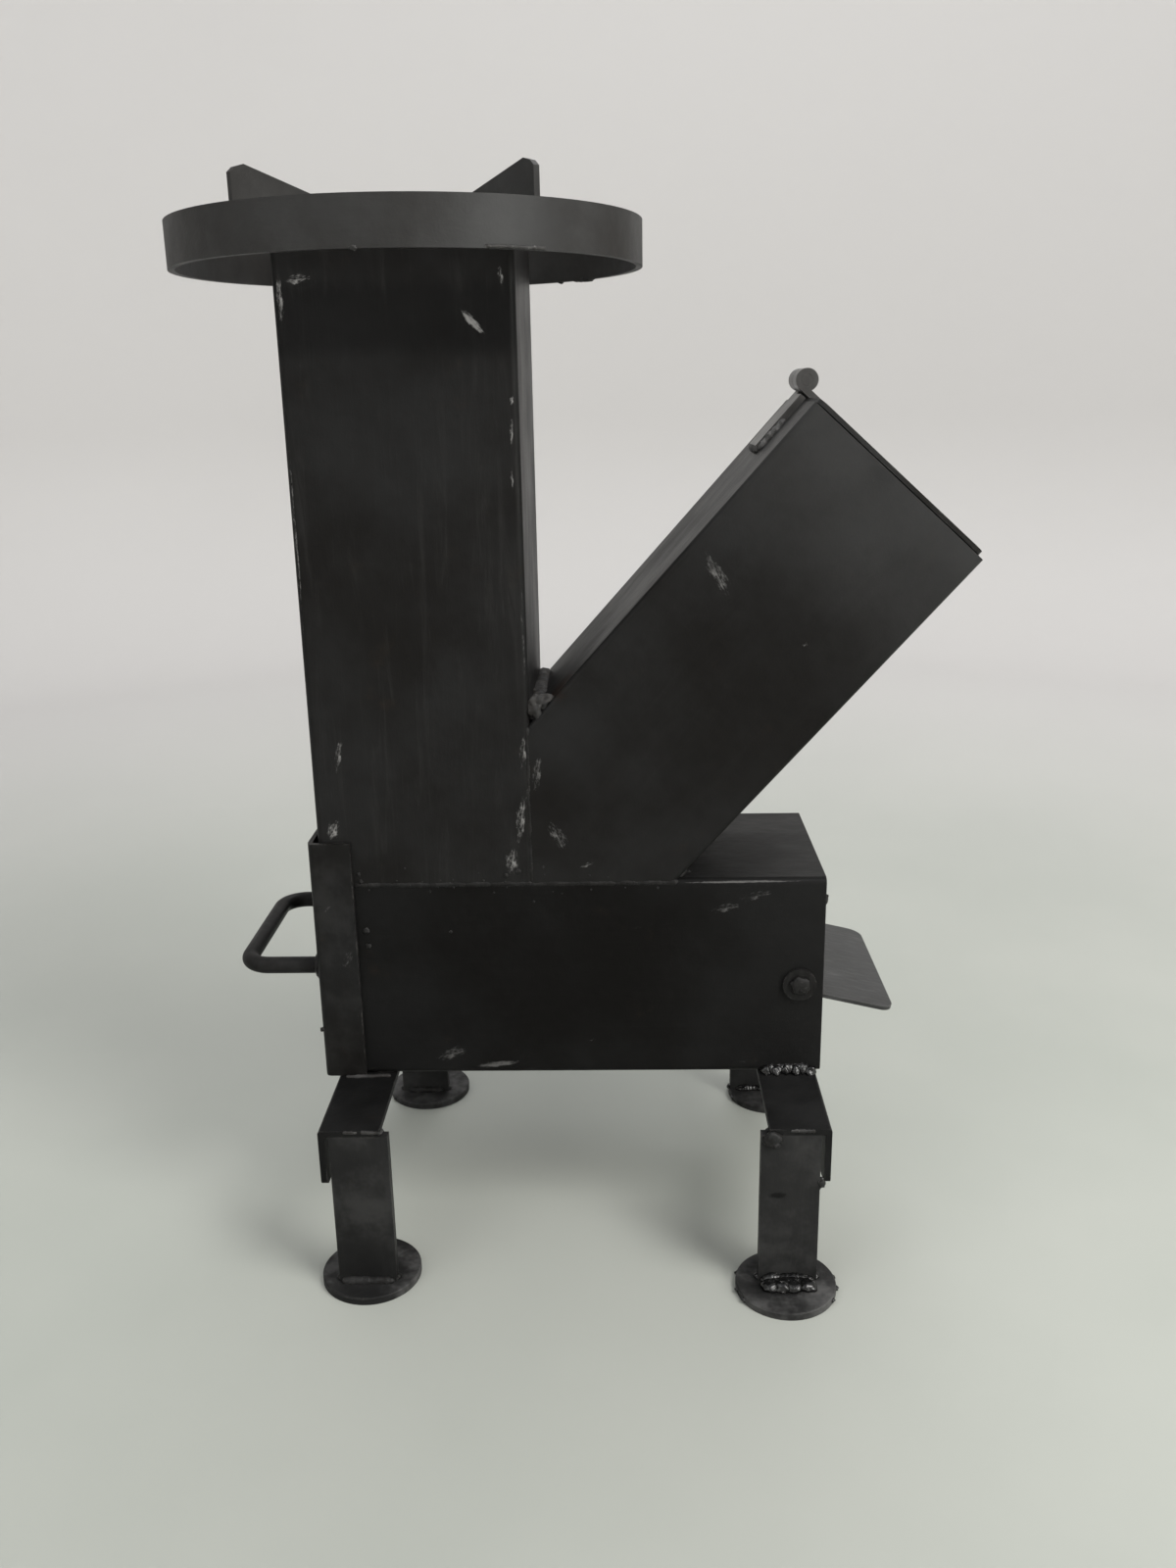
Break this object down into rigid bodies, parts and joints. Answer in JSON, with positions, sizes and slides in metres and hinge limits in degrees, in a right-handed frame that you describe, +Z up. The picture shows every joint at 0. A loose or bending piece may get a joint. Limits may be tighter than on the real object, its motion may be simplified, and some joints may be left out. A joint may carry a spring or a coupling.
{
  "type": "rocket stove",
  "caption": "K-shaped rocket stove of welded black square steel tube with a sloping lidded wood feed, butterfly air damper, sliding ash door, pot ring with supports, and disc feet.",
  "frame": {"origin": "on the floor, under the middle of the stove's overall box", "axes": "+Z up, +X from the ash door end towards the air damper and the feed mouth, -Y the front face that carries the spindle end"},
  "size_m": [0.3514, 0.2284, 0.4892],
  "materials": {
    "tube_paint": "matt black heat paint, brushed and scuffed",
    "pot_ring_paint": "matt black paint over flat bar",
    "leg_paint": "satin black paint over mill scale",
    "foot_paint": "uneven satin black paint",
    "door_paint": "matt black paint, rubbed brown",
    "lid_paint": "thin black paint over sheet steel",
    "hinge_steel": "thin black paint, rusting",
    "damper_sheet": "dull grey sheet",
    "grate_steel": "heat-scaled round bar",
    "fastener_steel": "thin black paint on plain steel"
  },
  "bodies": {
    "body": {"base_tube": "tube_paint", "chimney_tube": "tube_paint", "feed_tube": "tube_paint", "fire_grate": "grate_steel", "pot_ring": "pot_ring_paint", "feed_hinge_leaf": "hinge_steel", "hinge_pin": "hinge_steel", "pot_support_rear_right": "pot_ring_paint", "pot_support_rear_left": "pot_ring_paint", "pot_support_front_left": "pot_ring_paint", "pot_support_front_right": "pot_ring_paint", "leg_rail_left": "leg_paint", "leg_front_left": "leg_paint", "foot_front_left": "foot_paint", "leg_rear_left": "leg_paint", "foot_rear_left": "foot_paint", "leg_rail_right": "leg_paint", "leg_front_right": "leg_paint", "foot_front_right": "foot_paint", "leg_rear_right": "leg_paint", "foot_rear_right": "foot_paint"},
    "ash_door": {"ash_door": "door_paint", "ash_door_handle": "door_paint"},
    "feed_lid": {"feed_lid": "lid_paint", "lid_hinge_leaf": "hinge_steel"},
    "damper": {"damper_plate": "damper_sheet", "damper_spindle": "fastener_steel", "damper_washer_front": "fastener_steel", "damper_washer_rear": "fastener_steel", "damper_nut": "fastener_steel"}
  },
  "joints": [
    {"name": "ash_door_slide", "type": "slide", "parent": "body", "child": "ash_door", "axis": [0, 0, 1], "range_m": [0, 0.1]},
    {"name": "feed_lid_hinge", "type": "hinge", "parent": "body", "child": "feed_lid", "pos_m": [0.10248, 0.0112, 0.40408], "axis": [0, -1, 0], "range_deg": [0, 180]},
    {"name": "damper_turn", "type": "hinge", "parent": "body", "child": "damper", "pos_m": [0.10202, 0.0112, 0.1298], "axis": [0, 1, 0], "range_deg": [-103.4, 50]}
  ]
}
